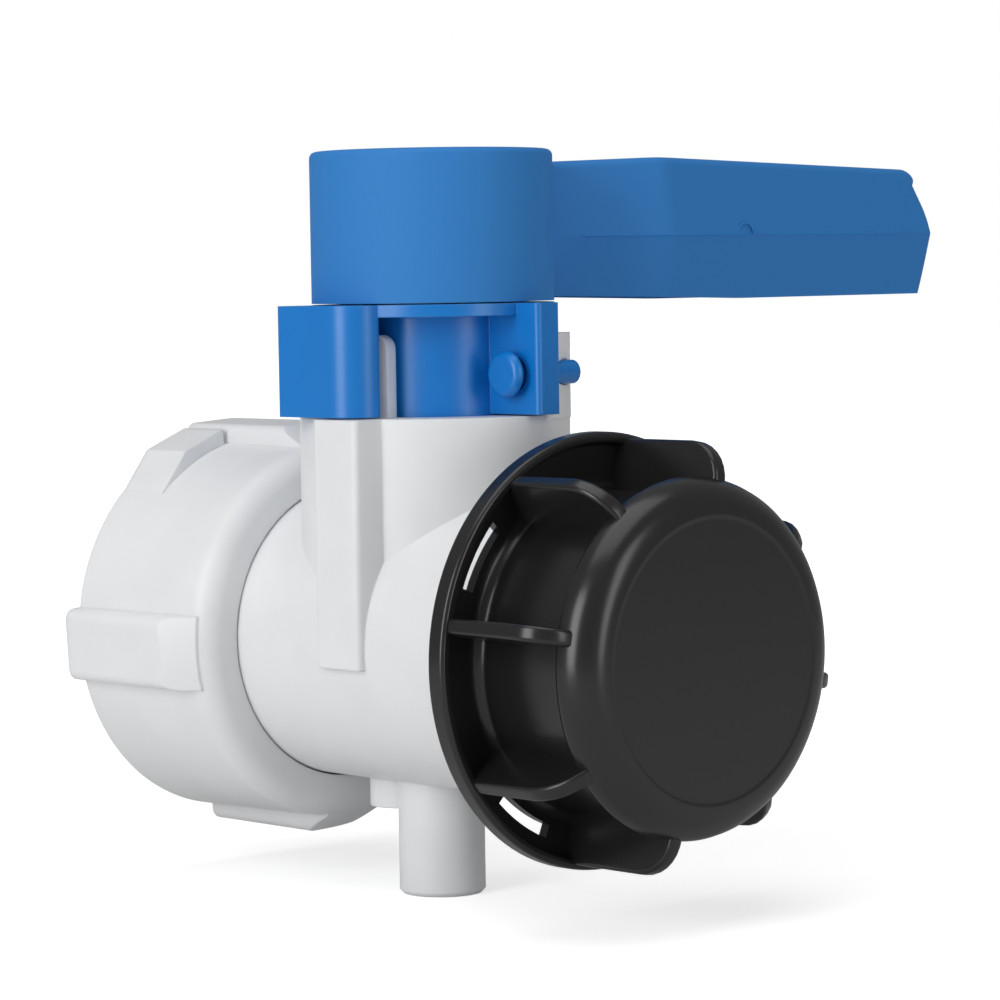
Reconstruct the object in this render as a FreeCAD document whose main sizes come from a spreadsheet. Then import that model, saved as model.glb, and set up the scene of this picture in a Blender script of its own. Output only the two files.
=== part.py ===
import FreeCAD, Part
import Sketcher
import math
import os

# Ball valve for an intermediate bulk container: outlet cap towards -Y, tank union nut
# towards +Y, stem up +Z, lever along +X with the valve closed. Millimetres and degrees.
# The origin is where the flow axis Y meets the stem axis Z.

SIZES = {
    # clearances
    "seat_gap": 0.3,
    "fit_gap": 0.05,
    # ball and seats
    "ball_radius": 27.0,
    "ball_bore_radius": 19.0,
    "slot_width": 8.0,
    "slot_depth": 4.7,
    "seat_bore_radius": 19.5,
    "seat_width": 5.5,
    "seat_front": 12.5,
    "seat_back": 21.0,
    "seat_rebate": 2.5,
    "seat_rebate_depth": 2.2,
    "seat_ring_section": 1.05,
    # valve body
    "barrel_radius": 32.0,
    "barrel_front": 42.0,
    "barrel_rear": 33.7,
    "ball_room": 1.0,
    "cavity_front": 13.5,
    "port_radius": 20.0,
    "port_length": 3.5,
    "spout_bore_radius": 24.0,
    "spout_taper": 8.0,
    "spout_root_radius": 27.4,
    "spout_thread_radius": 30.0,
    "spout_end": 76.7,
    "neck_radius": 29.0,
    "neck_top": 48.0,
    "neck_bore_radius": 18.0,
    "neck_floor": 33.0,
    "stem_hole_radius": 12.3,
    "tab_inner_radius": 19.0,
    "tab_outer_radius": 23.0,
    "tab_start": 158.0,
    "tab_end": 203.0,
    "tab_top": 65.4,
    "post_inner_radius": 21.0,
    "post_start": 280.0,
    "post_end": 324.0,
    "post_top": 65.1,
    "guide_face": 33.6,
    "guide_front": 12.3,
    "guide_back": 1.3,
    "guide_bottom": 4.0,
    "foot_radius": 9.3,
    "foot_bottom": 55.3,
    "foot_chamfer": 0.8,
    "boss_radius": 7.0,
    "boss_offset": 12.7,
    "boss_bottom": 37.5,
    # tail piece, its ring and the tank gasket
    "tail_flange_radius": 35.4,
    "tail_flange": 5.6,
    "tail_ring_place": 26.0,
    "tail_ring_section": 1.0,
    "gasket_thickness": 3.0,
    # union nut
    "nut_front": 29.0,
    "nut_rear": 72.3,
    "nut_bore_radius": 37.5,
    "nut_chamber_radius": 36.2,
    "nut_front_radius": 41.6,
    "nut_rear_radius": 42.5,
    "nut_shoulder": 5.0,
    "nut_hole_gap": 0.35,
    "lug_count": 4,
    "lug_width": 16.0,
    "lug_radius": 45.5,
    "lug_start": 40.0,
    "lug_rounding": 2.5,
    "nut_turn": 3.5,
    "ramp_width": 14.0,
    # stem and its rings
    "stem_radius": 11.0,
    "stem_foot_radius": 12.0,
    "stem_shoulder_radius": 15.0,
    "stem_shoulder": 3.5,
    "washer_thickness": 1.0,
    "stem_ring_section": 1.1,
    "stem_ring_low": 44.0,
    "stem_ring_pitch": 6.0,
    "square_width": 14.0,
    "square_start": 73.0,
    "square_top": 94.0,
    "screw_hole_radius": 2.9,
    "screw_depth": 16.0,
    # lock collar
    "collar_radius": 17.5,
    "collar_top": 71.7,
    "flange_thickness": 2.6,
    "flange_radius": 26.0,
    "wing_face": 32.0,
    "wing_back": 14.5,
    "wing_thickness": 2.8,
    "wing_bend_radius": 7.4,
    "wing_tip": 23.4,
    "wing_front": 9.5,
    "plate_thickness": 3.2,
    "plate_end": 32.5,
    "hook_length": 6.5,
    "hook_thickness": 3.0,
    # lock pin
    "pin_place": 25.2,
    "pin_height": 56.8,
    "pin_radius": 2.55,
    "pin_hole_radius": 3.6,
    "pin_head_radius": 4.9,
    "pin_head": 1.8,
    "pin_stand_off": 2.2,
    "pin_tip": 18.0,
    # handle
    "hub_radius": 26.0,
    "hub_wall": 3.2,
    "hub_bottom": 72.0,
    "hub_top": 104.3,
    "hub_rounding": 1.4,
    "hub_deck": 3.5,
    "hub_recess_radius": 19.0,
    "hub_recess": 5.0,
    "socket_radius": 12.5,
    "lever_root": 24.0,
    "lever_root_half": 8.6,
    "shoulder_place": 53.5,
    "shoulder_half": 19.5,
    "shoulder_rounding": 9.0,
    "lever_end": 152.0,
    "lever_end_half": 11.6,
    "lever_end_rounding": 4.0,
    "lever_root_top": 101.8,
    "lever_crown": 102.9,
    "lever_tip_top": 100.8,
    "lever_root_bottom": 72.9,
    "lever_tip_bottom": 71.4,
    "lever_nose": 6.0,
    "lever_wall": 2.6,
    "lever_rounding": 1.6,
    # handle screw and washer
    "screw_radius": 3.0,
    "screw_head_radius": 5.6,
    "screw_head": 3.2,
    "screw_washer_radius": 9.0,
    "screw_washer": 1.2,
    # outlet cap and its gasket
    "cap_rear": 46.4,
    "cap_front": 84.0,
    "cap_wall": 3.7,
    "cap_bore_gap": 0.35,
    "cap_radius": 33.4,
    "cap_rim_radius": 35.2,
    "cap_rim_start": 72.5,
    "cap_rim_rounding": 4.2,
    "cap_flange_radius": 45.2,
    "cap_flange": 2.2,
    "cap_lip": 4.4,
    "cap_lip_width": 2.2,
    "rib_count": 8,
    "rib_thickness": 3.0,
    "rib_height": 44.2,
    "rib_flat_end": 60.0,
    "rib_end": 77.0,
    "cap_turn": -11.0,
    "cut_count": 4,
    "cut_inner_radius": 36.6,
    "cut_outer_radius": 40.6,
    "cut_half_angle": 11.0,
    "cap_gasket": 3.0,
}

doc = FreeCAD.newDocument("ibc_tank_valve")
sheet = doc.addObject("Spreadsheet::Sheet", "Sizes")
for row, (alias, number) in enumerate(SIZES.items(), start=1):
    sheet.set(f"A{row}", alias)
    sheet.set(f"B{row}", str(number))
    sheet.setAlias(f"B{row}", alias)
doc.recompute()


def cells(text):
    """An expression in cell names, with each name given its sheet."""
    words = []
    for word in text.replace("(", " ( ").replace(")", " ) ").split():
        sign = "-" if word.startswith("-") and len(word) > 1 else ""
        name = word[len(sign):]
        words.append(sign + ("Sizes." + name if name in SIZES else name))
    return " ".join(words)


def value(text):
    """The number that an expression in cell names gives."""
    return float(sheet.evalExpression(cells(text)))


def bind(thing, path, text):
    thing.setExpression(path, cells(text))


SEAT_OUTER = "( seat_bore_radius + seat_width )"
CAVITY = "( ball_radius + ball_room )"


# ---------------------------------------------------------------- bodies and sketches
def new_body(label):
    body = doc.addObject("PartDesign::Body", label)
    body.Label = label
    return body


def origin_part(body, role):
    return next(item for item in body.Origin.OriginFeatures if item.Role == role)


def new_sketch(body, name, role, offset=None):
    """A sketch on one of the body's own origin planes, offset along the plane's normal."""
    sketch = body.newObject("Sketcher::SketchObject", name)
    sketch.AttachmentSupport = [(origin_part(body, role), "")]
    sketch.MapMode = "FlatFace"
    if offset:
        bind(sketch, "AttachmentOffset.Base.z", offset)
    doc.recompute()
    return sketch


def fix(sketch, kind, geometry, point, text):
    """A driving distance from the sketch's origin to a point, bound to the sheet."""
    number = value(text)
    index = sketch.addConstraint(Sketcher.Constraint(kind, -1, 1, geometry, point, number))
    bind(sketch, f"Constraints[{index}]", text)


def corner_cut(before, corner, after, radius):
    """The two tangent points, the centre and the turn of a rounded corner."""
    back = (before - corner).normalize()
    ahead = (after - corner).normalize()
    half = back.getAngle(ahead) / 2
    reach = radius / math.tan(half)
    middle = (back + ahead).normalize() * (radius / math.sin(half))
    left_turn = (corner - before).cross(after - corner).z > 0
    return corner + back * reach, corner + ahead * reach, corner + middle, left_turn


def outline(sketch, corners):
    """A closed outline of straight sides. Each corner is (x, y) or (x, y, rounding radius)."""
    places = [FreeCAD.Vector(value(c[0]), value(c[1]), 0) for c in corners]
    count = len(corners)
    starts, ends, arcs = list(places), list(places), {}
    for i, corner in enumerate(corners):
        if len(corner) == 3:
            before, after = places[i - 1], places[(i + 1) % count]
            cut = corner_cut(before, places[i], after, value(corner[2]))
            ends[i], starts[i], arcs[i] = cut[0], cut[1], cut
    sides = [
        sketch.addGeometry(Part.LineSegment(starts[i], ends[(i + 1) % count]), False)
        for i in range(count)
    ]
    for i, corner in enumerate(corners):
        come, leave = sides[i - 1], sides[i]
        if i not in arcs:
            sketch.addConstraint(Sketcher.Constraint("Coincident", come, 2, leave, 1))
            fix(sketch, "DistanceX", leave, 1, corner[0])
            fix(sketch, "DistanceY", leave, 1, corner[1])
            continue
        first, last, centre, left_turn = arcs[i]
        begin, finish = (first, last) if left_turn else (last, first)
        angles = [math.atan2(p.y - centre.y, p.x - centre.x) for p in (begin, finish)]
        circle = Part.Circle(centre, FreeCAD.Vector(0, 0, 1), value(corner[2]))
        if angles[1] < angles[0]:
            angles[1] += 2 * math.pi
        arc = sketch.addGeometry(Part.ArcOfCircle(circle, angles[0], angles[1]), False)
        near, far = (1, 2) if left_turn else (2, 1)
        sketch.addConstraint(Sketcher.Constraint("Tangent", come, 2, arc, near))
        sketch.addConstraint(Sketcher.Constraint("Tangent", leave, 1, arc, far))
        mark = sketch.addGeometry(Part.Point(places[i]), True)
        fix(sketch, "DistanceX", mark, 1, corner[0])
        fix(sketch, "DistanceY", mark, 1, corner[1])
        sketch.addConstraint(Sketcher.Constraint("PointOnObject", mark, 1, come))
        sketch.addConstraint(Sketcher.Constraint("PointOnObject", mark, 1, leave))
        index = sketch.addConstraint(Sketcher.Constraint("Radius", arc, value(corner[2])))
        bind(sketch, f"Constraints[{index}]", corner[2])


def ring(sketch, x, y, radius):
    circle = Part.Circle(FreeCAD.Vector(value(x), value(y), 0), FreeCAD.Vector(0, 0, 1), value(radius))
    index = sketch.addGeometry(circle, False)
    fix(sketch, "DistanceX", index, 3, x)
    fix(sketch, "DistanceY", index, 3, y)
    number = sketch.addConstraint(Sketcher.Constraint("Radius", index, value(radius)))
    bind(sketch, f"Constraints[{number}]", radius)


def sector(sketch, inner, outer, start, end):
    """A piece of a ring about the sketch's origin, from one angle to another in degrees."""
    angles = [math.radians(value(start)), math.radians(value(end))]
    up = FreeCAD.Vector(0, 0, 1)
    middle = FreeCAD.Vector(0, 0, 0)

    def at(radius, angle):
        return FreeCAD.Vector(radius * math.cos(angle), radius * math.sin(angle), 0)

    radii = [value(inner), value(outer)]
    arcs = [
        sketch.addGeometry(Part.ArcOfCircle(Part.Circle(middle, up, r), *angles), False)
        for r in radii
    ]
    lines = [
        sketch.addGeometry(Part.LineSegment(at(radii[0], a), at(radii[1], a)), False)
        for a in angles
    ]
    for arc, radius in zip(arcs, (inner, outer)):
        sketch.addConstraint(Sketcher.Constraint("Coincident", arc, 3, -1, 1))
        index = sketch.addConstraint(Sketcher.Constraint("Radius", arc, value(radius)))
        bind(sketch, f"Constraints[{index}]", radius)
    for place, (line, text) in enumerate(zip(lines, (start, end)), start=1):
        sketch.addConstraint(Sketcher.Constraint("Coincident", line, 1, arcs[0], place))
        sketch.addConstraint(Sketcher.Constraint("Coincident", line, 2, arcs[1], place))
        turn = Sketcher.Constraint("Angle", -1, 1, line, 1, math.radians(value(text)))
        index = sketch.addConstraint(turn)
        bind(sketch, f"Constraints[{index}]", f"( {text} ) * 1 deg")


def revolve(body, name, sketch, axis, cut=False):
    """Turns a sketch right round the body's own X, Y or Z axis, to add or to cut."""
    kind = "PartDesign::Groove" if cut else "PartDesign::Revolution"
    feature = body.newObject(kind, name)
    feature.Profile = sketch
    feature.ReferenceAxis = (origin_part(body, f"{axis}_Axis"), [""])
    feature.Angle = 360
    sketch.Visibility = False
    doc.recompute()
    return feature


def pad(body, name, sketch, length, both_ways=False, backwards=False):
    feature = body.newObject("PartDesign::Pad", name)
    feature.Profile = sketch
    feature.Midplane = both_ways
    feature.Reversed = backwards
    bind(feature, "Length", length)
    doc.recompute()
    return feature


def pocket(body, name, sketch, length, both_ways=False, backwards=False):
    """Cuts a sketch into the body, and fails when nothing was taken away."""
    before = body.Shape.Volume
    feature = body.newObject("PartDesign::Pocket", name)
    feature.Profile = sketch
    feature.Midplane = both_ways
    feature.Reversed = backwards
    bind(feature, "Length", length)
    doc.recompute()
    if body.Shape.Volume > before - 0.5:
        raise RuntimeError(f"{name} cuts nothing")
    return feature


def polar(body, name, features, axis, count):
    pattern = body.newObject("PartDesign::PolarPattern", name)
    pattern.Originals = features
    pattern.Axis = (origin_part(body, f"{axis}_Axis"), [""])
    pattern.Angle = 360
    bind(pattern, "Occurrences", count)
    body.Tip = pattern
    doc.recompute()
    return pattern


def edges_where(feature, test):
    """The names of a feature's edges whose middle and length pass a test."""
    names = []
    for number, edge in enumerate(feature.Shape.Edges, start=1):
        middle = edge.valueAt((edge.FirstParameter + edge.LastParameter) / 2)
        if test(middle, edge):
            names.append(f"Edge{number}")
    return names


def soften(body, name, kind, base, names, size):
    """A fillet or chamfer on named edges of the feature before it."""
    feature = body.newObject(f"PartDesign::{kind}", name)
    feature.Base = (base, names)
    bind(feature, "Radius" if kind == "Fillet" else "Size", size)
    doc.recompute()
    return feature


# ---------------------------------------------------------------- primitives
def solid(kind, name, **sizes):
    thing = doc.addObject(f"Part::{kind}", name)
    for key, text in sizes.items():
        bind(thing, key, text)
    return thing


def place(thing, x="0", y="0", z="0"):
    for axis, text in zip("xyz", (x, y, z)):
        bind(thing, f"Placement.Base.{axis}", text)
    return thing


def lay_along_y(thing, start):
    """Turns a thing made about Z to lie about the flow axis, from start towards +Y."""
    thing.Placement = FreeCAD.Placement(
        FreeCAD.Vector(0, value(start), 0), FreeCAD.Rotation(FreeCAD.Vector(1, 0, 0), -90)
    )
    bind(thing, "Placement.Base.y", start)
    return thing


def cut(name, base, tool):
    result = doc.addObject("Part::Cut", name)
    result.Base = base
    result.Tool = tool
    return result


def flat_ring(label, inner, outer, thickness, start, along_flow):
    """A flat washer or gasket about the flow axis or the stem axis."""
    rim = solid("Cylinder", label + "_rim", Radius=outer, Height=thickness)
    hole = solid("Cylinder", label + "_hole", Radius=inner, Height=thickness)
    for piece in (rim, hole):
        if along_flow:
            lay_along_y(piece, start)
        else:
            place(piece, z=start)
    result = cut(label, rim, hole)
    result.Label = label
    return result


def round_ring(label, major, minor, centre, along_flow):
    """A ring of round section about the flow axis or the stem axis."""
    torus = solid("Torus", label, Radius1=major, Radius2=minor)
    torus.Label = label
    return lay_along_y(torus, centre) if along_flow else place(torus, z=centre)


# ---------------------------------------------------------------- valve body
def valve_body():
    body = new_body("valve_body")
    barrel = new_sketch(body, "barrel_profile", "YZ_Plane")
    outline(barrel, [
        ("-spout_end", "0"),
        ("-spout_end", "spout_root_radius"),
        ("-barrel_front - 2", "spout_root_radius"),
        ("-barrel_front - 2", "barrel_radius - 2"),
        ("-barrel_front", "barrel_radius"),
        ("barrel_rear", "barrel_radius"),
        ("barrel_rear", "0"),
    ])
    revolve(body, "barrel", barrel, "Y")

    neck = new_sketch(body, "neck_plan", "XY_Plane")
    ring(neck, "0", "0", "neck_radius")
    pad(body, "neck", neck, "neck_top")
    guide = new_sketch(body, "guide_plan", "XY_Plane", "-guide_bottom")
    outline(guide, [
        ("-guide_face", "-guide_front", "1.2"),
        ("0", "-guide_front"),
        ("0", "guide_back"),
        ("-guide_face", "guide_back", "1.2"),
    ])
    pad(body, "guide", guide, "neck_top + guide_bottom")

    tab = new_sketch(body, "tab_plan", "XY_Plane", "neck_top - 1")
    sector(tab, "tab_inner_radius", "tab_outer_radius", "tab_start", "tab_end")
    tab_pad = pad(body, "tab", tab, "tab_top - neck_top + 1")
    top = value("tab_top")
    inner, outer = value("tab_inner_radius"), value("tab_outer_radius")
    names = edges_where(tab_pad, lambda p, e: abs(p.z - top) < 0.01
                        and abs(p.Length - math.hypot((inner + outer) / 2, top)) < 0.3
                        and e.Length < 2 * (outer - inner))
    soften(body, "tab_corners", "Fillet", tab_pad, names, "3")

    post = new_sketch(body, "post_plan", "XY_Plane", "neck_top - 1")
    sector(post, "post_inner_radius", "neck_radius + 0.2", "post_start", "post_end")
    post_pad = pad(body, "post", post, "post_top - neck_top + 1")
    top = value("post_top")
    inner, outer = value("post_inner_radius"), value("neck_radius + 0.2")
    names = edges_where(post_pad, lambda p, e: abs(p.z - top) < 0.01
                        and abs(p.Length - math.hypot((inner + outer) / 2, top)) < 0.3
                        and e.Length < 1.5 * (outer - inner))
    soften(body, "post_corners", "Fillet", post_pad, names, "2.5")

    foot = new_sketch(body, "foot_plan", "XY_Plane", "-foot_bottom")
    ring(foot, "0", "0", "foot_radius")
    foot_pad = pad(body, "foot", foot, f"foot_bottom - {CAVITY}")
    low = value("-foot_bottom")
    names = edges_where(foot_pad, lambda p, e: abs(p.z - low) < 0.01)
    soften(body, "foot_edge", "Chamfer", foot_pad, names, "foot_chamfer")
    boss = new_sketch(body, "boss_plan", "XY_Plane", "-boss_bottom")
    ring(boss, "0", "boss_offset", "boss_radius")
    pad(body, "boss", boss, f"boss_bottom - {CAVITY}")

    flow = new_sketch(body, "flow_profile", "YZ_Plane")
    outline(flow, [
        ("-spout_end - 1", "0"),
        ("-spout_end - 1", "spout_bore_radius"),
        ("-seat_back - port_length - spout_taper", "spout_bore_radius"),
        ("-seat_back - port_length", "port_radius"),
        ("-seat_back - seat_gap", "port_radius"),
        ("-seat_back - seat_gap", f"{SEAT_OUTER} + fit_gap"),
        ("-cavity_front", f"{SEAT_OUTER} + fit_gap"),
        ("-cavity_front", CAVITY),
        ("barrel_rear + 1", CAVITY),
        ("barrel_rear + 1", "0"),
    ])
    revolve(body, "flow_way", flow, "Y", cut=True)
    well = new_sketch(body, "well_profile", "XZ_Plane")
    outline(well, [
        ("0", "0"),
        ("stem_hole_radius", "0"),
        ("stem_hole_radius", "neck_floor"),
        ("neck_bore_radius", "neck_floor"),
        ("neck_bore_radius", "neck_top + 1"),
        ("0", "neck_top + 1"),
    ])
    revolve(body, "stem_well", well, "Z", cut=True)
    pin = new_sketch(body, "pin_hole_plan", "YZ_Plane")
    ring(pin, "-pin_place", "pin_height", "pin_radius + seat_gap")
    pocket(body, "pin_hole", pin, "2 * neck_radius", backwards=True)
    return body


# ---------------------------------------------------------------- ball, seats and rings
def ball():
    sphere = solid("Sphere", "ball_sphere", Radius="ball_radius")
    bore = solid("Cylinder", "ball_bore", Radius="ball_bore_radius", Height="2 * ball_radius")
    bore.Placement = FreeCAD.Placement(
        FreeCAD.Vector(0, 0, 0), FreeCAD.Rotation(FreeCAD.Vector(0, 1, 0), 90)
    )
    bind(bore, "Placement.Base.x", "-ball_radius")
    slot = solid("Box", "ball_slot", Length="slot_width", Width="2 * ball_radius",
                 Height="2 * slot_depth")
    place(slot, "-slot_width / 2", "-ball_radius", "ball_radius - slot_depth")
    bored = cut("ball_bored", sphere, bore)
    result = cut("ball", bored, slot)
    result.Label = "ball"
    return result


def seat_ring(label, side):
    """A soft seat on one side of the ball: side is -1 for the outlet and 1 for the inlet."""
    body = new_body(label)
    mirror = "-" if side < 0 else ""
    profile = new_sketch(body, label + "_profile", "YZ_Plane")
    outline(profile, [
        (mirror + "seat_front", "seat_bore_radius"),
        (mirror + "seat_front", SEAT_OUTER),
        (f"{side} * ( seat_back - seat_rebate_depth )", SEAT_OUTER),
        (f"{side} * ( seat_back - seat_rebate_depth )", f"{SEAT_OUTER} - seat_rebate"),
        (mirror + "seat_back", f"{SEAT_OUTER} - seat_rebate"),
        (mirror + "seat_back", "seat_bore_radius"),
    ])
    revolve(body, label + "_turned", profile, "Y")
    face = solid("Sphere", label + "_face", Radius="ball_radius + seat_gap")
    result = cut(label + "_cut", body, face)
    body.Label = label + "_blank"
    result.Label = label
    return result


def seat_back_ring(label, side):
    return round_ring(label, f"{SEAT_OUTER} - seat_ring_section - fit_gap", "seat_ring_section",
                      f"{side} * ( seat_back - seat_ring_section + fit_gap )", True)


# ---------------------------------------------------------------- tail piece and tank gasket
def tail_piece():
    body = new_body("tail_piece")
    profile = new_sketch(body, "tail_profile", "YZ_Plane")
    ring_groove = f"{CAVITY} - 2 * tail_ring_section - fit_gap"
    outline(profile, [
        ("cavity_front", f"{SEAT_OUTER} + fit_gap"),
        ("cavity_front", f"{CAVITY} - fit_gap"),
        ("tail_ring_place - tail_ring_section", f"{CAVITY} - fit_gap"),
        ("tail_ring_place - tail_ring_section", ring_groove),
        ("tail_ring_place + tail_ring_section", ring_groove),
        ("tail_ring_place + tail_ring_section", f"{CAVITY} - fit_gap"),
        ("barrel_rear", f"{CAVITY} - fit_gap"),
        ("barrel_rear", "tail_flange_radius", "0.8"),
        ("barrel_rear + tail_flange", "tail_flange_radius", "0.8"),
        ("barrel_rear + tail_flange", "spout_bore_radius"),
        ("seat_back + port_length + spout_taper", "spout_bore_radius"),
        ("seat_back + port_length", "port_radius"),
        ("seat_back + seat_gap", "port_radius"),
        ("seat_back + seat_gap", f"{SEAT_OUTER} + fit_gap"),
    ])
    revolve(body, "tail_turned", profile, "Y")
    return body


# ---------------------------------------------------------------- union nut
def union_nut():
    body = new_body("union_nut")
    profile = new_sketch(body, "nut_profile", "YZ_Plane")
    outline(profile, [
        ("nut_front", "barrel_radius + nut_hole_gap"),
        ("nut_front", "nut_front_radius", "nut_shoulder"),
        ("nut_rear", "nut_rear_radius", "0.8"),
        ("nut_rear", "nut_bore_radius"),
        ("barrel_rear + tail_flange + gasket_thickness", "nut_bore_radius"),
        ("barrel_rear + tail_flange + gasket_thickness", "nut_chamber_radius"),
        ("barrel_rear - seat_gap", "nut_chamber_radius"),
        ("barrel_rear - seat_gap", "barrel_radius + nut_hole_gap"),
    ])
    revolve(body, "nut_turned", profile, "Y")
    lug = new_sketch(body, "lug_plan", "XZ_Plane", "-nut_rear")
    outline(lug, [
        ("-lug_width / 2", "nut_bore_radius + 0.5"),
        ("-lug_width / 2", "lug_radius", "lug_rounding"),
        ("lug_width / 2", "lug_radius", "lug_rounding"),
        ("lug_width / 2", "nut_bore_radius + 0.5"),
    ])
    lug_pad = pad(body, "lug", lug, "nut_rear - nut_front - 2.5")
    polar(body, "lugs", [lug_pad], "Y", "lug_count")
    slope = new_sketch(body, "lug_slope_profile", "YZ_Plane")
    outline(slope, [
        ("nut_front - 1", "lug_radius + 3"),
        ("nut_front - 1", "nut_front_radius + 0.1"),
        ("nut_front + 2.5", "nut_front_radius + 0.1"),
        ("lug_start", "lug_radius + 0.5"),
        ("lug_start", "lug_radius + 3"),
    ])
    revolve(body, "lug_slopes", slope, "Y", cut=True)
    ramp = new_sketch(body, "ramp_plan", "XZ_Plane", "-nut_rear + ramp_width / 2 + 0.6")
    outline(ramp, [
        ("-lug_radius * 0.63", "nut_bore_radius * 0.78"),
        ("-nut_rear_radius * 0.64", "nut_rear_radius * 0.765"),
        ("-lug_radius * 0.44", "lug_radius * 0.898"),
        ("-lug_radius * 0.2", "lug_radius * 0.98"),
        ("-lug_radius * 0.2", "nut_bore_radius + 1"),
        ("-lug_radius * 0.4", "nut_bore_radius - 1.2"),
    ])
    pad(body, "ramp", ramp, "ramp_width", both_ways=True)
    body.Placement = FreeCAD.Placement(
        FreeCAD.Vector(0, 0, 0), FreeCAD.Rotation(FreeCAD.Vector(0, -1, 0), value("nut_turn"))
    )
    bind(body, "Placement.Rotation.Angle", "nut_turn * 1 deg")
    return body


# ---------------------------------------------------------------- stem
def stem():
    body = new_body("stem")
    profile = new_sketch(body, "stem_profile", "XZ_Plane")
    shoulder = "neck_floor + seat_gap + washer_thickness"
    groove = "stem_radius - 2 * stem_ring_section"
    high = "stem_ring_low + stem_ring_pitch"
    outline(profile, [
        ("0", "ball_radius + seat_gap"),
        ("stem_foot_radius", "ball_radius + seat_gap"),
        ("stem_foot_radius", shoulder),
        ("stem_shoulder_radius", shoulder),
        ("stem_shoulder_radius", f"{shoulder} + stem_shoulder"),
        ("stem_radius", f"{shoulder} + stem_shoulder"),
        ("stem_radius", "stem_ring_low - stem_ring_section"),
        (groove, "stem_ring_low - stem_ring_section"),
        (groove, "stem_ring_low + stem_ring_section"),
        ("stem_radius", "stem_ring_low + stem_ring_section"),
        ("stem_radius", f"{high} - stem_ring_section"),
        (groove, f"{high} - stem_ring_section"),
        (groove, f"{high} + stem_ring_section"),
        ("stem_radius", f"{high} + stem_ring_section"),
        ("stem_radius", "square_start"),
        ("0", "square_start"),
    ])
    revolve(body, "stem_turned", profile, "Z")
    square = new_sketch(body, "square_plan", "XY_Plane", "square_start - 1")
    half = "square_width / 2"
    outline(square, [
        (f"-{half}", f"-{half}", "1"), (half, f"-{half}", "1"),
        (half, half, "1"), (f"-{half}", half, "1"),
    ])
    pad(body, "square", square, "square_top - square_start + 1")
    key = new_sketch(body, "key_plan", "XY_Plane", "ball_radius - slot_depth + seat_gap")
    outline(key, [
        ("-slot_width / 2 + seat_gap", "-stem_foot_radius + 2"),
        ("slot_width / 2 - seat_gap", "-stem_foot_radius + 2"),
        ("slot_width / 2 - seat_gap", "stem_foot_radius - 2"),
        ("-slot_width / 2 + seat_gap", "stem_foot_radius - 2"),
    ])
    pad(body, "key", key, "slot_depth + 1")
    hole = new_sketch(body, "screw_hole_plan", "XY_Plane", "square_top")
    ring(hole, "0", "0", "screw_hole_radius + 0.15")
    pocket(body, "screw_hole", hole, "screw_depth + 1")
    return body


# ---------------------------------------------------------------- lock collar
def lock_collar():
    body = new_body("lock_collar")
    bottom = "neck_floor + washer_thickness + stem_shoulder + 2 * seat_gap"
    wing_bottom = "neck_top + seat_gap"
    wing_height = "collar_top - neck_top - seat_gap"
    profile = new_sketch(body, "collar_profile", "XZ_Plane")
    outline(profile, [
        ("stem_radius + fit_gap", bottom),
        ("collar_radius", bottom),
        ("collar_radius", "collar_top - flange_thickness"),
        ("flange_radius", "collar_top - flange_thickness"),
        ("flange_radius", "collar_top"),
        ("stem_radius + fit_gap", "collar_top"),
    ])
    revolve(body, "collar_turned", profile, "Z")

    deck = new_sketch(body, "deck_plan", "XY_Plane", "collar_top - flange_thickness")
    outline(deck, [
        ("-wing_face", "wing_back", "1.5"),
        ("-wing_face", "-wing_front", "wing_bend_radius"),
        ("-collar_radius", "-wing_front"),
        ("-collar_radius", "wing_back"),
    ])
    pad(body, "deck", deck, "flange_thickness")

    wing = new_sketch(body, "wing_plan", "XY_Plane", wing_bottom)
    outline(wing, [
        ("-wing_face", "wing_back", "1.5"),
        ("-wing_face", "-wing_front", "wing_bend_radius"),
        ("-wing_tip", "-wing_front", "1"),
        ("-wing_tip", "-wing_front + wing_thickness", "1"),
        ("-wing_face + wing_thickness", "-wing_front + wing_thickness",
         "wing_bend_radius - wing_thickness"),
        ("-wing_face + wing_thickness", "wing_back - wing_thickness"),
        ("-collar_radius + 4.5", "wing_back - wing_thickness"),
        ("-collar_radius + 4.5", "wing_back"),
    ])
    pad(body, "wing", wing, wing_height)

    plate = new_sketch(body, "plate_plan", "XY_Plane", wing_bottom)
    outline(plate, [
        ("0", "-collar_radius + 1.2"),
        ("0", "-plate_end", "1.2"),
        ("hook_length", "-plate_end", "1.2"),
        ("hook_length", "-plate_end + hook_thickness"),
        ("plate_thickness", "-plate_end + hook_thickness"),
        ("plate_thickness", "-collar_radius + 1.2"),
    ])
    pad(body, "plate", plate, wing_height)
    hole = new_sketch(body, "collar_pin_plan", "YZ_Plane")
    ring(hole, "-pin_place", "pin_height", "pin_hole_radius")
    pocket(body, "collar_pin_hole", hole, "3 * plate_thickness", both_ways=True)
    return body


# ---------------------------------------------------------------- lock pin
def lock_pin():
    """Drawn about its own X axis, then set at its hole."""
    body = new_body("lock_pin")
    profile = new_sketch(body, "pin_profile", "XZ_Plane")
    outline(profile, [
        ("-pin_stand_off - pin_head", "0"),
        ("-pin_stand_off - pin_head", "pin_head_radius", "pin_head * 0.9"),
        ("-pin_stand_off", "pin_head_radius"),
        ("-pin_stand_off", "pin_radius"),
        ("pin_tip - 1.2", "pin_radius"),
        ("pin_tip", "pin_radius - 1.2"),
        ("pin_tip", "0"),
    ])
    revolve(body, "pin_turned", profile, "X")
    place(body, y="-pin_place", z="pin_height")
    return body


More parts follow.
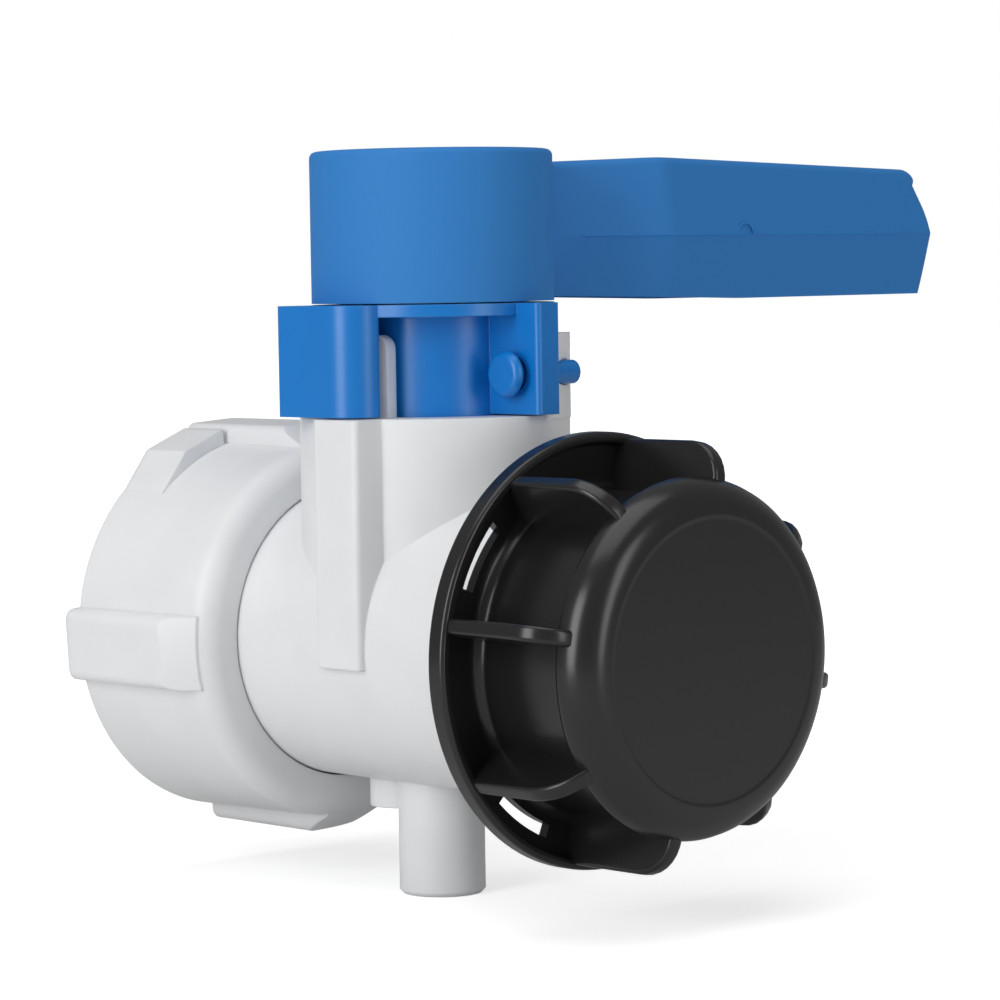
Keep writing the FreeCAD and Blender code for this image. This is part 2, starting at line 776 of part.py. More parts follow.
# ---------------------------------------------------------------- handle
def lever_plan(sketch, end, inset):
    """The lever seen from above up to an end, drawn in from its outside by a wall."""
    outline(sketch, [
        ("lever_root - 6", f"-lever_root_half + {inset}"),
        ("lever_root", f"-lever_root_half + {inset}"),
        ("shoulder_place", f"-shoulder_half + {inset}", "shoulder_rounding"),
        (end, f"-lever_end_half + {inset}", "lever_end_rounding"),
        (end, f"lever_end_half - {inset}", "lever_end_rounding"),
        ("shoulder_place", f"shoulder_half - {inset}", "shoulder_rounding"),
        ("lever_root", f"lever_root_half - {inset}"),
        ("lever_root - 6", f"lever_root_half - {inset}"),
    ])


def handle():
    body = new_body("handle")
    plan = new_sketch(body, "lever_plan", "XY_Plane", "lever_tip_bottom - 1")
    lever_plan(plan, "lever_end", "0")
    pad(body, "lever", plan, "lever_crown + 1 - lever_tip_bottom + 1")

    side = new_sketch(body, "lever_side", "XZ_Plane")
    outline(side, [
        ("0", "lever_crown + 8"),
        ("0", "lever_root_top"),
        ("lever_root", "lever_root_top"),
        ("shoulder_place", "lever_crown", "120"),
        ("lever_end - lever_nose", "lever_tip_top", "6"),
        ("lever_end", "( lever_tip_top + lever_tip_bottom ) / 2", "30"),
        ("lever_end - lever_nose / 3", "lever_tip_bottom - 3"),
        ("lever_end + 8", "lever_tip_bottom - 3"),
        ("lever_end + 8", "lever_crown + 8"),
    ])
    trimmed = pocket(body, "lever_trim", side, "4 * shoulder_half", both_ways=True)
    names = edges_where(trimmed, lambda p, e: p.z > value("lever_tip_top") - 2.5
                        and p.x > value("lever_root") and abs(p.y) > 2)
    soften(body, "lever_edges", "Fillet", trimmed, names, "lever_rounding")

    low = new_sketch(body, "lever_low", "XZ_Plane")
    outline(low, [
        ("0", "lever_tip_bottom - 8"),
        ("0", "lever_root_bottom"),
        ("lever_root", "lever_root_bottom"),
        ("shoulder_place * 1.5", "lever_tip_bottom"),
        ("lever_end + 8", "lever_tip_bottom"),
        ("lever_end + 8", "lever_tip_bottom - 8"),
    ])
    pocket(body, "lever_low_trim", low, "4 * shoulder_half", both_ways=True)

    inside = new_sketch(body, "lever_inside", "XY_Plane", "lever_tip_top - lever_wall - 1")
    lever_plan(inside, "lever_end - lever_nose - lever_wall / 2", "lever_wall")
    pocket(body, "lever_channel", inside, "lever_crown")

    hub = new_sketch(body, "hub_profile", "XZ_Plane")
    inner = "hub_radius - hub_wall"
    deck = "hub_top - hub_recess - hub_deck"
    outline(hub, [
        ("0", "square_start + 2"),
        ("socket_radius", "square_start + 2"),
        ("socket_radius", deck),
        (inner, deck),
        (inner, "hub_bottom"),
        ("hub_radius", "hub_bottom"),
        ("hub_radius", "hub_top", "hub_rounding"),
        ("hub_recess_radius", "hub_top", "0.6"),
        ("hub_recess_radius", "hub_top - hub_recess"),
        ("0", "hub_top - hub_recess"),
    ])
    revolve(body, "hub", hub, "Z")
    socket = new_sketch(body, "socket_plan", "XY_Plane", "square_start + 1")
    half = "( square_width / 2 + fit_gap )"
    outline(socket, [
        (f"-1 * {half}", f"-1 * {half}"), (half, f"-1 * {half}"),
        (half, half), (f"-1 * {half}", half),
    ])
    pocket(body, "socket", socket, "square_top - square_start - 1 + seat_gap", backwards=True)
    hole = new_sketch(body, "handle_screw_plan", "XY_Plane", "hub_top")
    ring(hole, "0", "0", "screw_hole_radius + 0.6")
    pocket(body, "handle_screw_hole", hole, "hub_top - square_top + 1")
    return body


# ---------------------------------------------------------------- handle screw
def handle_screw():
    body = new_body("handle_screw")
    profile = new_sketch(body, "screw_profile", "XZ_Plane")
    seat = "hub_top - hub_recess + screw_washer"
    outline(profile, [
        ("0", "square_top - screw_depth"),
        ("screw_radius - 0.8", "square_top - screw_depth"),
        ("screw_radius", "square_top - screw_depth + 1"),
        ("screw_radius", seat),
        ("screw_head_radius", seat),
        ("screw_head_radius", f"{seat} + screw_head", "1.6"),
        ("0", f"{seat} + screw_head"),
    ])
    revolve(body, "screw_turned", profile, "Z")
    drive = new_sketch(body, "drive_plan", "XY_Plane", f"{seat} + screw_head")
    arm, half = "screw_head_radius * 0.55", "0.6"
    outline(drive, [
        (f"-{arm}", f"-{half}"), (f"-{half}", f"-{half}"), (f"-{half}", f"-{arm}"),
        (half, f"-{arm}"), (half, f"-{half}"), (arm, f"-{half}"),
        (arm, half), (half, half), (half, arm),
        (f"-{half}", arm), (f"-{half}", half), (f"-{arm}", half),
    ])
    pocket(body, "drive", drive, "screw_head * 0.6")
    return body


# ---------------------------------------------------------------- outlet cap
def outlet_cap():
    body = new_body("outlet_cap")
    profile = new_sketch(body, "cap_profile", "YZ_Plane")
    bore = "spout_thread_radius + cap_bore_gap"
    outline(profile, [
        ("-cap_rear", bore),
        ("-cap_rear", "cap_flange_radius", "0.8"),
        ("-cap_rear - cap_lip", "cap_flange_radius", "1"),
        ("-cap_rear - cap_lip", "cap_flange_radius - cap_lip_width", "0.6"),
        ("-cap_rear - cap_flange", "cap_flange_radius - cap_lip_width - 0.6"),
        ("-cap_rear - cap_flange", "cap_radius", "2"),
        ("-cap_rim_start", "cap_radius"),
        ("-cap_rim_start - 2", "cap_rim_radius", "0.8"),
        ("-cap_front", "cap_rim_radius", "cap_rim_rounding"),
        ("-cap_front", "0"),
        ("-cap_front + cap_wall", "0"),
        ("-cap_front + cap_wall", bore),
    ])
    revolve(body, "cap_turned", profile, "Y")
    rib = new_sketch(body, "rib_profile", "YZ_Plane")
    outline(rib, [
        ("-cap_rear - cap_flange / 2", "cap_radius - 1"),
        ("-cap_rear - cap_flange / 2", "rib_height"),
        ("-rib_flat_end", "rib_height - 0.3", "20"),
        ("-rib_end + 2", "cap_rim_radius + 1.2", "4"),
        ("-rib_end - 0.5", "cap_rim_radius - 0.6"),
        ("-rib_end", "cap_radius - 1"),
    ])
    rib_pad = pad(body, "rib", rib, "rib_thickness", both_ways=True)
    pattern = polar(body, "ribs", [rib_pad], "Y", "rib_count")
    slot = new_sketch(body, "cut_plan", "XZ_Plane", "cap_rear - 1")
    middle = "( 90 - 180 / rib_count )"
    sector(slot, "cut_inner_radius", "cut_outer_radius", f"{middle} - cut_half_angle",
           f"{middle} + cut_half_angle")
    slot_cut = pocket(body, "cut", slot, "cap_lip + 4", backwards=True)
    polar(body, "cuts", [slot_cut], "Y", "cut_count")
    body.Placement = FreeCAD.Placement(
        FreeCAD.Vector(0, 0, 0), FreeCAD.Rotation(FreeCAD.Vector(0, -1, 0), value("cap_turn"))
    )
    bind(body, "Placement.Rotation.Angle", "cap_turn * 1 deg")
    return body


pieces = [
    valve_body(),
    ball(),
    seat_ring("seat_ring_outlet", -1),
    seat_ring("seat_ring_inlet", 1),
    seat_back_ring("seat_o_ring_outlet", -1),
    seat_back_ring("seat_o_ring_inlet", 1),
    tail_piece(),
    round_ring("tail_o_ring", f"{CAVITY} - tail_ring_section - fit_gap", "tail_ring_section",
               "tail_ring_place", True),
    flat_ring("tank_gasket", "spout_bore_radius", "tail_flange_radius - 0.4", "gasket_thickness",
              "barrel_rear + tail_flange", True),
    union_nut(),
    stem(),
    round_ring("stem_o_ring_lower", "stem_radius - stem_ring_section", "stem_ring_section",
               "stem_ring_low", False),
    round_ring("stem_o_ring_upper", "stem_radius - stem_ring_section", "stem_ring_section",
               "stem_ring_low + stem_ring_pitch", False),
    flat_ring("thrust_washer", "stem_foot_radius + seat_gap", "stem_shoulder_radius",
              "washer_thickness", "neck_floor + seat_gap", False),
    lock_collar(),
    lock_pin(),
    handle(),
    flat_ring("handle_washer", "screw_radius + seat_gap", "screw_washer_radius", "screw_washer",
              "hub_top - hub_recess", False),
    handle_screw(),
    outlet_cap(),
    flat_ring("cap_gasket", "spout_bore_radius", "spout_thread_radius", "cap_gasket",
              "-cap_front + cap_wall + seat_gap", True),
]
doc.recompute()

for item in doc.Objects:
    if "Invalid" in item.State or "Error" in item.State:
        raise RuntimeError(f"{item.Name} failed: {item.State} {item.getStatusString()}")

os.makedirs("parts", exist_ok=True)
for piece in pieces:
    shape = piece.Shape
    if shape.isNull() or not shape.isValid():
        raise RuntimeError(f"{piece.Label} has no valid shape")
    shape.exportStep(f"parts/{piece.Label}.step")
    print(f"{piece.Label}: {len(shape.Solids)} solid, {shape.Volume / 1000:.2f} cm3")
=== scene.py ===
"""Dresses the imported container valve: finishes, shaped cap and lever, threads, mould marks and stage."""

import math

import bmesh
import bpy
from mathutils import Matrix, Vector


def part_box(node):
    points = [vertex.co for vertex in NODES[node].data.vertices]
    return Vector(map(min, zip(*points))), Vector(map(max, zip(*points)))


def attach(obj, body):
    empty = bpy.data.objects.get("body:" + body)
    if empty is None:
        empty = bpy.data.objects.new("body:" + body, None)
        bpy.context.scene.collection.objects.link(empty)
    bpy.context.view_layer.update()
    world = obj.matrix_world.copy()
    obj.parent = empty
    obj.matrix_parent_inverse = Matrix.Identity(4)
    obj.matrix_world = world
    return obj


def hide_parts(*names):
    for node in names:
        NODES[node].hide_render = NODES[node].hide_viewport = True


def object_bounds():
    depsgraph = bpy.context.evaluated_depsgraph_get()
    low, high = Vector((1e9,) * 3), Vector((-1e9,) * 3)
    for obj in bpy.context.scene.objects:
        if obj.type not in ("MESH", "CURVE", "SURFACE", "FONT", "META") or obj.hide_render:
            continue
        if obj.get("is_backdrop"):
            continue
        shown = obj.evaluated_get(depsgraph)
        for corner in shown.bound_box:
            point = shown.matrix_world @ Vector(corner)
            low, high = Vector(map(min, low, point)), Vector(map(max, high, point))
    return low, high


bl_info = {
    "name": "Container Valve Finish",
    "version": (1, 0, 0),
    "blender": (4, 5, 0),
    "location": "3D View > Sidebar > Valve",
    "description": "Builds the visual model of a container ball valve around its packed frame",
    "category": "Object",
}

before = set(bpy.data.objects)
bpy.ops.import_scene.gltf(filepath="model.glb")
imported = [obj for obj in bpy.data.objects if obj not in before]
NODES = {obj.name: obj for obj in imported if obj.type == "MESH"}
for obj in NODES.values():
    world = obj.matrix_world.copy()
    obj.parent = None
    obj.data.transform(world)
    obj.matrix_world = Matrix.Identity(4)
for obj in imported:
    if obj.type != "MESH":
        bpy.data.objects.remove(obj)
CAD_LOW, CAD_HIGH = (corner.copy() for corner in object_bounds())
CAP_LOW, CAP_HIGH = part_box("outlet_cap")

# Distance at which doubled vertices become one, and the angle in degrees past which an edge stays sharp.
MERGE = 1e-6
SMOOTH = 34.0

# Smaller sizes of the outlet cap: its bore, walls and flange, the openings in the flange, and the ribs.
CAP_BORE = 0.03035
FRONT_WALL = 0.0037
FACE_DISH = 0.00012
RIM_LENGTH = 0.0098
FLANGE_WEB = 0.0022
FLANGE_LIP = 0.0044
OPENING_COUNT = 4
OPENING_INNER, OPENING_OUTER = 0.0374, 0.0402
OPENING_HALF_TURN = math.radians(11)
RIB_COUNT = 8
LONG_FALL = 1.35

# Share of the white surroundings that glossy rays see.
GLOSSY_SHARE = 0.05

# Which finish each solid takes.
FINISHES = {
    "valve_body": "body_white",
    "union_nut": "body_white",
    "tail_piece": "inner_white",
    "ball": "inner_white",
    "seat_ring_outlet": "seat_white",
    "seat_ring_inlet": "seat_white",
    "thrust_washer": "seat_white",
    "seat_o_ring_outlet": "ring_black",
    "seat_o_ring_inlet": "ring_black",
    "tail_o_ring": "ring_black",
    "stem_o_ring_lower": "ring_black",
    "stem_o_ring_upper": "ring_black",
    "tank_gasket": "gasket_grey",
    "cap_gasket": "gasket_grey",
    "stem": "inner_white",
    "lock_collar": "handle_blue",
    "lock_pin": "handle_blue",
    "handle": "handle_blue",
    "handle_washer": "screw_steel",
    "handle_screw": "screw_steel",
    "outlet_cap": "cap_black",
}


# ---------------------------------------------------------------- mesh helpers
def plain_mesh(piece):
    """The piece's mesh with its modifiers or curve worked out."""
    graph = bpy.context.evaluated_depsgraph_get()
    return bpy.data.meshes.new_from_object(piece.evaluated_get(graph))


def merged_shape(mesh):
    """A mesh as a bmesh, with its doubles merged and its faces turned outward."""
    shape = bmesh.new()
    shape.from_mesh(mesh)
    bmesh.ops.remove_doubles(shape, verts=shape.verts, dist=MERGE)
    bmesh.ops.recalc_face_normals(shape, faces=shape.faces)
    return shape


# ---------------------------------------------------------------- node helpers
def add_node(tree, kind, **settings):
    """A node with its settings and inputs. Inputs are named with underscores for spaces."""
    node = tree.nodes.new(kind)
    for key, setting in settings.items():
        if hasattr(node, key) and key not in node.inputs:
            setattr(node, key, setting)
            continue
        socket = node.inputs[int(key[1:])] if key[0] == "i" and key[1:].isdigit() else node.inputs[
            key.replace("_", " ")]
        if isinstance(setting, bpy.types.NodeSocket):
            tree.links.new(setting, socket)
        else:
            socket.default_value = setting
    return node


def new_group(name, kind, inputs, outputs):
    """A node group, its input node and its output node."""
    tree = bpy.data.node_groups.new(name, kind)
    for label, socket_type, default in inputs:
        socket = tree.interface.new_socket(label, in_out="INPUT", socket_type=socket_type)
        if default is not None:
            socket.default_value = default
    for label, socket_type in outputs:
        tree.interface.new_socket(label, in_out="OUTPUT", socket_type=socket_type)
    return tree, tree.nodes.new("NodeGroupInput"), tree.nodes.new("NodeGroupOutput")


def maths(tree, operation, a, b=0.0, c=0.0):
    return add_node(tree, "ShaderNodeMath", operation=operation, i0=a, i1=b, i2=c).outputs[0]


def remap(tree, source, low, high, to_low=0.0, to_high=1.0):
    """Carries low..high of a value to to_low..to_high, smoothly and clamped."""
    node = add_node(tree, "ShaderNodeMapRange", interpolation_type="SMOOTHSTEP", Value=source,
                    From_Min=low, From_Max=high, To_Min=to_low, To_Max=to_high)
    return node.outputs[0]


def blend_colours(tree, share, first, second, how="MIX"):
    node = tree.nodes.new("ShaderNodeMix")
    node.data_type, node.blend_type = "RGBA", how
    for socket, setting in ((node.inputs[0], share), (node.inputs[6], first), (node.inputs[7], second)):
        if isinstance(setting, bpy.types.NodeSocket):
            tree.links.new(setting, socket)
        else:
            socket.default_value = setting
    return node.outputs[2]


def noise(tree, where, scale, detail=3.0, roughness=0.5):
    return add_node(tree, "ShaderNodeTexNoise", Vector=where, Scale=scale, Detail=detail,
                    Roughness=roughness).outputs["Fac"]


def linear(red, green, blue):
    """A display colour of 0 to 255 as a linear colour."""
    def channel(level):
        level /= 255
        return level / 12.92 if level <= 0.04045 else ((level + 0.055) / 1.055) ** 2.4
    return (channel(red), channel(green), channel(blue), 1.0)


# ---------------------------------------------------------------- shared effects
def edge_rub_group():
    """Where an edge is rubbed: high on edges, broken up by noise."""
    tree, given, out = new_group(
        "edge_rub", "ShaderNodeTree",
        [("Reach", "NodeSocketFloat", 0.0006), ("Breakup", "NodeSocketFloat", 900.0)],
        [("Rub", "NodeSocketFloat"), ("Edge", "NodeSocketFloat")])
    where = add_node(tree, "ShaderNodeTexCoord").outputs["Object"]
    rounded = add_node(tree, "ShaderNodeBevel", samples=4, Radius=given.outputs["Reach"])
    plain = add_node(tree, "ShaderNodeNewGeometry").outputs["Normal"]
    facing = add_node(tree, "ShaderNodeVectorMath", operation="DOT_PRODUCT",
                      i0=rounded.outputs[0], i1=plain).outputs["Value"]
    edge = remap(tree, facing, 0.995, 0.86)
    broken = noise(tree, where, given.outputs["Breakup"], 4.0, 0.6)
    rub = maths(tree, "MULTIPLY", edge, remap(tree, broken, 0.42, 0.66))
    tree.links.new(rub, out.inputs["Rub"])
    tree.links.new(edge, out.inputs["Edge"])
    return tree


def moulded_grain_group():
    """The skin of moulded plastic: a fine spark-eroded grain over a slow waviness."""
    tree, given, out = new_group(
        "moulded_grain", "ShaderNodeTree",
        [("Grain Scale", "NodeSocketFloat", 2600.0), ("Grain", "NodeSocketFloat", 0.5),
         ("Wave Scale", "NodeSocketFloat", 60.0), ("Wave", "NodeSocketFloat", 0.5)],
        [("Height", "NodeSocketFloat"), ("Mottle", "NodeSocketFloat")])
    where = add_node(tree, "ShaderNodeTexCoord").outputs["Object"]
    grain = noise(tree, where, given.outputs["Grain Scale"], 2.0, 0.6)
    wave = noise(tree, where, given.outputs["Wave Scale"], 2.0, 0.4)
    height = maths(tree, "MULTIPLY_ADD", grain, given.outputs["Grain"],
                   maths(tree, "MULTIPLY", wave, given.outputs["Wave"]))
    tree.links.new(height, out.inputs["Height"])
    tree.links.new(wave, out.inputs["Mottle"])
    return tree


def scuff_group():
    """Hairline scuffs and specks of dust from handling."""
    tree, given, out = new_group(
        "handling_scuffs", "ShaderNodeTree",
        [("Scale", "NodeSocketFloat", 220.0), ("Amount", "NodeSocketFloat", 0.5)],
        [("Scuff", "NodeSocketFloat"), ("Speck", "NodeSocketFloat")])
    where = add_node(tree, "ShaderNodeTexCoord").outputs["Object"]
    streaks = []
    for turn in ((0.4, 0.2, 0.9), (1.3, 0.8, 2.1)):
        lay = add_node(tree, "ShaderNodeMapping", Vector=where, Rotation=turn, Scale=(1.0, 14.0, 14.0))
        streak = noise(tree, lay.outputs[0], given.outputs["Scale"], 2.0, 0.5)
        streaks.append(remap(tree, streak, 0.7, 0.78))
    patch = remap(tree, noise(tree, where, 28.0, 2.0), 0.5, 0.62)
    both = maths(tree, "MAXIMUM", *streaks)
    scuff = maths(tree, "MULTIPLY", maths(tree, "MULTIPLY", both, patch), given.outputs["Amount"])
    cells = add_node(tree, "ShaderNodeTexVoronoi", Vector=where, Scale=420.0)
    speck = maths(tree, "MULTIPLY", remap(tree, cells.outputs["Distance"], 0.09, 0.05),
                  remap(tree, noise(tree, where, 95.0, 1.0), 0.62, 0.7))
    tree.links.new(scuff, out.inputs["Scuff"])
    tree.links.new(maths(tree, "MULTIPLY", speck, given.outputs["Amount"]), out.inputs["Speck"])
    return tree


def use_group(tree, group, **inputs):
    node = tree.nodes.new("ShaderNodeGroup")
    node.node_tree = bpy.data.node_groups[group]
    for key, setting in inputs.items():
        node.inputs[key.replace("_", " ")].default_value = setting
    return node


# ---------------------------------------------------------------- materials
def new_material(name):
    material = bpy.data.materials.new(name)
    material.use_nodes = True
    tree = material.node_tree
    tree.nodes.clear()
    out = tree.nodes.new("ShaderNodeOutputMaterial")
    shader = tree.nodes.new("ShaderNodeBsdfPrincipled")
    tree.links.new(shader.outputs[0], out.inputs["Surface"])
    return material, tree, shader


def plain_inputs(shader, **settings):
    for key, setting in settings.items():
        shader.inputs[key.replace("_", " ")].default_value = setting


def raise_skin(tree, shader, height, depth, rounding):
    """The bump of a skin, over edges that are rounded as a mould leaves them."""
    rounded = add_node(tree, "ShaderNodeBevel", samples=6, Radius=rounding).outputs[0]
    bump = add_node(tree, "ShaderNodeBump", Strength=1.0, Distance=depth, Height=height, Normal=rounded)
    tree.links.new(bump.outputs[0], shader.inputs["Normal"])


def moulded_plastic(name, colour, deep, worn, rough, grain, depth, rounding=0.0004, grain_scale=2600.0,
                    wave=0.3, scuffs=0.3, rub=0.3, **sockets):
    """Moulded plastic: base colour with slow mottling, rubbed edges, scuffs, fine grain."""
    material, tree, shader = new_material(name)
    skin = use_group(tree, "moulded_grain", Grain_Scale=grain_scale, Grain=grain, Wave=wave)
    edges = use_group(tree, "edge_rub", Reach=rounding * 1.5)
    marks = use_group(tree, "handling_scuffs", Amount=scuffs)
    base = blend_colours(tree, remap(tree, skin.outputs["Mottle"], 0.35, 0.65), colour, deep)
    wear = maths(tree, "MAXIMUM", maths(tree, "MULTIPLY", edges.outputs["Rub"], rub),
                 maths(tree, "MULTIPLY", marks.outputs["Scuff"], 0.6))
    wear = maths(tree, "MAXIMUM", wear, marks.outputs["Speck"])
    tree.links.new(blend_colours(tree, wear, base, worn), shader.inputs["Base Color"])
    uneven = maths(tree, "MULTIPLY_ADD", skin.outputs["Mottle"], 0.1, rough - 0.05)
    tree.links.new(maths(tree, "MULTIPLY_ADD", wear, 0.2, uneven), shader.inputs["Roughness"])
    raise_skin(tree, shader, skin.outputs["Height"], depth, rounding)
    plain_inputs(shader, **sockets)
    return material


def build_materials(look):
    made = {}
    white = tuple(look.body_colour) + (1.0,)
    blue = tuple(look.handle_colour) + (1.0,)
    black = tuple(look.cap_colour) + (1.0,)
    made["body_white"] = moulded_plastic(
        "body_white", white, tuple(0.97 * c for c in white[:3]) + (1,), linear(244, 244, 242), 0.42,
        0.2, 0.00006, rounding=0.0006, wave=1.0, scuffs=0.15, rub=0.15,
        Subsurface_Weight=0.35, Subsurface_Radius=(1.0, 0.95, 0.9), Subsurface_Scale=0.004,
        Specular_IOR_Level=0.4)
    made["handle_blue"] = moulded_plastic(
        "handle_blue", blue, tuple(0.96 * c for c in blue[:3]) + (1,), linear(98, 152, 208), 0.31,
        0.6, 0.00002, rounding=0.0004, scuffs=0.25, rub=0.35, Specular_IOR_Level=0.5)
    made["cap_black"] = moulded_plastic(
        "cap_black", black, tuple(0.8 * c for c in black[:3]) + (1,), linear(70, 70, 72), 0.27,
        0.3, 0.00004, rounding=0.0005, scuffs=0.2, rub=0.3, Specular_IOR_Level=0.35)
    made["inner_white"] = moulded_plastic(
        "inner_white", linear(226, 227, 224), linear(220, 221, 218), linear(240, 240, 238), 0.35,
        0.2, 0.00003, scuffs=0.3, rub=0.2, Subsurface_Weight=0.2, Subsurface_Scale=0.003)
    made["seat_white"] = moulded_plastic(
        "seat_white", linear(244, 242, 236), linear(240, 238, 231), linear(250, 249, 246), 0.3,
        0.1, 0.00002, scuffs=0.2, rub=0.1, Subsurface_Weight=0.3, Subsurface_Scale=0.002)
    made["ring_black"] = moulded_plastic(
        "ring_black", linear(34, 34, 35), linear(28, 28, 29), linear(66, 66, 66), 0.5,
        0.5, 0.00003, rounding=0.0001, scuffs=0.1, rub=0.1)
    made["gasket_grey"] = moulded_plastic(
        "gasket_grey", linear(72, 73, 75), linear(64, 65, 67), linear(104, 104, 105), 0.6,
        0.6, 0.00005, rounding=0.0003, scuffs=0.4, rub=0.3)
    made["screw_steel"] = moulded_plastic(
        "screw_steel", linear(190, 190, 187), linear(170, 170, 168), linear(225, 225, 222), 0.3,
        0.3, 0.00002, rounding=0.0002, grain_scale=4200.0, scuffs=0.6, rub=0.5, Metallic=1.0)
    return made


# ---------------------------------------------------------------- threads
def thread_group():
    """A screw thread as a swept ridge about the flow axis, running towards +Y from its start."""
    tree, given, out = new_group(
        "screw_thread", "GeometryNodeTree",
        [("Radius", "NodeSocketFloat", 0.0274), ("Depth", "NodeSocketFloat", 0.0025),
         ("Pitch", "NodeSocketFloat", 0.006), ("Turns", "NodeSocketFloat", 4.0),
         ("Start", "NodeSocketFloat", 0.0), ("Sink", "NodeSocketFloat", 0.0004),
         ("Inward", "NodeSocketFloat", 1.0), ("Finish", "NodeSocketMaterial", None)],
        [("Geometry", "NodeSocketGeometry")])
    radius, depth, pitch, turns, start, sink, side, finish = given.outputs[:8]
    half_depth = maths(tree, "MULTIPLY", depth, 0.5)
    middle = maths(tree, "MULTIPLY", side, maths(tree, "SUBTRACT", half_depth, sink))
    sweep = maths(tree, "ADD", radius, middle)
    helix = add_node(tree, "GeometryNodeCurveSpiral", Resolution=72, Rotations=turns, Start_Radius=sweep,
                     End_Radius=sweep, Height=maths(tree, "MULTIPLY", pitch, turns))
    upright = add_node(tree, "GeometryNodeSetCurveNormal", mode="Z_UP", Curve=helix.outputs[0])
    section = add_node(tree, "GeometryNodeCurvePrimitiveQuadrilateral", mode="TRAPEZOID",
                       Height=maths(tree, "ADD", depth, sink), Offset=0.0,
                       Bottom_Width=maths(tree, "MULTIPLY", pitch, 0.62),
                       Top_Width=maths(tree, "MULTIPLY", pitch, 0.26))
    turn = add_node(tree, "ShaderNodeCombineXYZ", Z=maths(tree, "MULTIPLY", side, -math.pi / 2))
    facing = add_node(tree, "GeometryNodeTransform", Geometry=section.outputs[0], Rotation=turn.outputs[0])
    ridge = add_node(tree, "GeometryNodeCurveToMesh", Curve=upright.outputs[0],
                     Profile_Curve=facing.outputs[0], Fill_Caps=True)
    place = add_node(tree, "ShaderNodeCombineXYZ", Y=start)
    laid = add_node(tree, "GeometryNodeTransform", Geometry=ridge.outputs[0], Translation=place.outputs[0],
                    Rotation=(-math.pi / 2, 0.0, 0.0))
    single = add_node(tree, "GeometryNodeRealizeInstances", Geometry=laid.outputs[0])
    coated = add_node(tree, "GeometryNodeSetMaterial", Geometry=single.outputs[0], Material=finish)
    tree.links.new(coated.outputs[0], out.inputs[0])
    return tree


def build_thread(name, body, finish, **sizes):
    """Runs the thread tree with its sizes, keeps the plain mesh, and lets it ride on a body."""
    holder = bpy.data.objects.new(name, bpy.data.meshes.new(name))
    bpy.context.scene.collection.objects.link(holder)
    modifier = holder.modifiers.new("thread", "NODES")
    modifier.node_group = bpy.data.node_groups["screw_thread"]
    sizes["Finish"] = bpy.data.materials[finish]
    for item in modifier.node_group.interface.items_tree:
        if item.in_out == "INPUT" and item.name in sizes:
            modifier[item.identifier] = sizes[item.name]
    mesh = plain_mesh(holder)
    holder.modifiers.remove(modifier)
    holder.data = mesh
    shape = merged_shape(mesh)
    shape.to_mesh(mesh)
    shape.free()
    mesh.name = name
    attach(holder, body)
    return holder


# ---------------------------------------------------------------- shaped pieces
def rounded_outline(corners, steps=7):
    """The points of a closed outline. A corner's third number is the radius that rounds it."""
    points = []
    for i, corner in enumerate(corners):
        here = Vector(corner[:2])
        if len(corner) == 2:
            points.append(here)
            continue
        back = (Vector(corners[i - 1][:2]) - here).normalized()
        ahead = (Vector(corners[(i + 1) % len(corners)][:2]) - here).normalized()
        half = back.angle(ahead) / 2
        centre = here + (back + ahead).normalized() * (corner[2] / math.sin(half))
        first = here + back * (corner[2] / math.tan(half)) - centre
        last = here + ahead * (corner[2] / math.tan(half)) - centre
        begin = math.atan2(first.y, first.x)
        sweep = math.remainder(math.atan2(last.y, last.x) - begin, 2 * math.pi)
        for step in range(steps + 1):
            turn = begin + sweep * step / steps
            points.append(centre + Vector((math.cos(turn), math.sin(turn))) * corner[2])
    return points


def about_flow(along, out, turn):
    """A point at a distance along the flow axis and out from it, at an angle round it."""
    return Vector((out * math.cos(turn), along, out * math.sin(turn)))


def add_lathe(shape, outline, segments):
    """Turns a closed outline of (along, out) points about the flow axis."""
    rings = [[shape.verts.new(about_flow(p.x, p.y, 2 * math.pi * k / segments)) for p in outline]
             for k in range(segments)]
    for k, ring in enumerate(rings):
        after = rings[(k + 1) % segments]
        for i in range(len(outline)):
            j = (i + 1) % len(outline)
            if outline[i].y > 1e-6 or outline[j].y > 1e-6:
                shape.faces.new((ring[i], ring[j], after[j], after[i]))
    bmesh.ops.remove_doubles(shape, verts=shape.verts, dist=MERGE)


def add_prism(shape, near, far, soft=0.0):
    """Joins two equal closed outlines with sides and ends, with softened long edges."""
    first, last = ([shape.verts.new(point) for point in side] for side in (near, far))
    made = [shape.faces.new(first), shape.faces.new(last[::-1])]
    for i in range(len(first)):
        j = (i + 1) % len(first)
        made.append(shape.faces.new((first[j], first[i], last[i], last[j])))
    bmesh.ops.recalc_face_normals(shape, faces=made)
    if soft:
        rims = [edge for face in made[:2] for edge in face.edges]
        bmesh.ops.bevel(shape, geom=rims, offset=soft, segments=3, profile=0.5, affect="EDGES")


def new_piece(name, shape, smooth=SMOOTH):
    """An object from a bmesh, smooth but for edges sharper than an angle in degrees."""
    mesh = bpy.data.meshes.new(name)
    shape.to_mesh(mesh)
    shape.free()
    if "custom_normal" in mesh.attributes:
        mesh.attributes.remove(mesh.attributes["custom_normal"])
    mesh.shade_smooth()
    mesh.set_sharp_from_angle(angle=math.radians(smooth))
    piece = bpy.data.objects.new(name, mesh)
    bpy.context.scene.collection.objects.link(piece)
    return piece


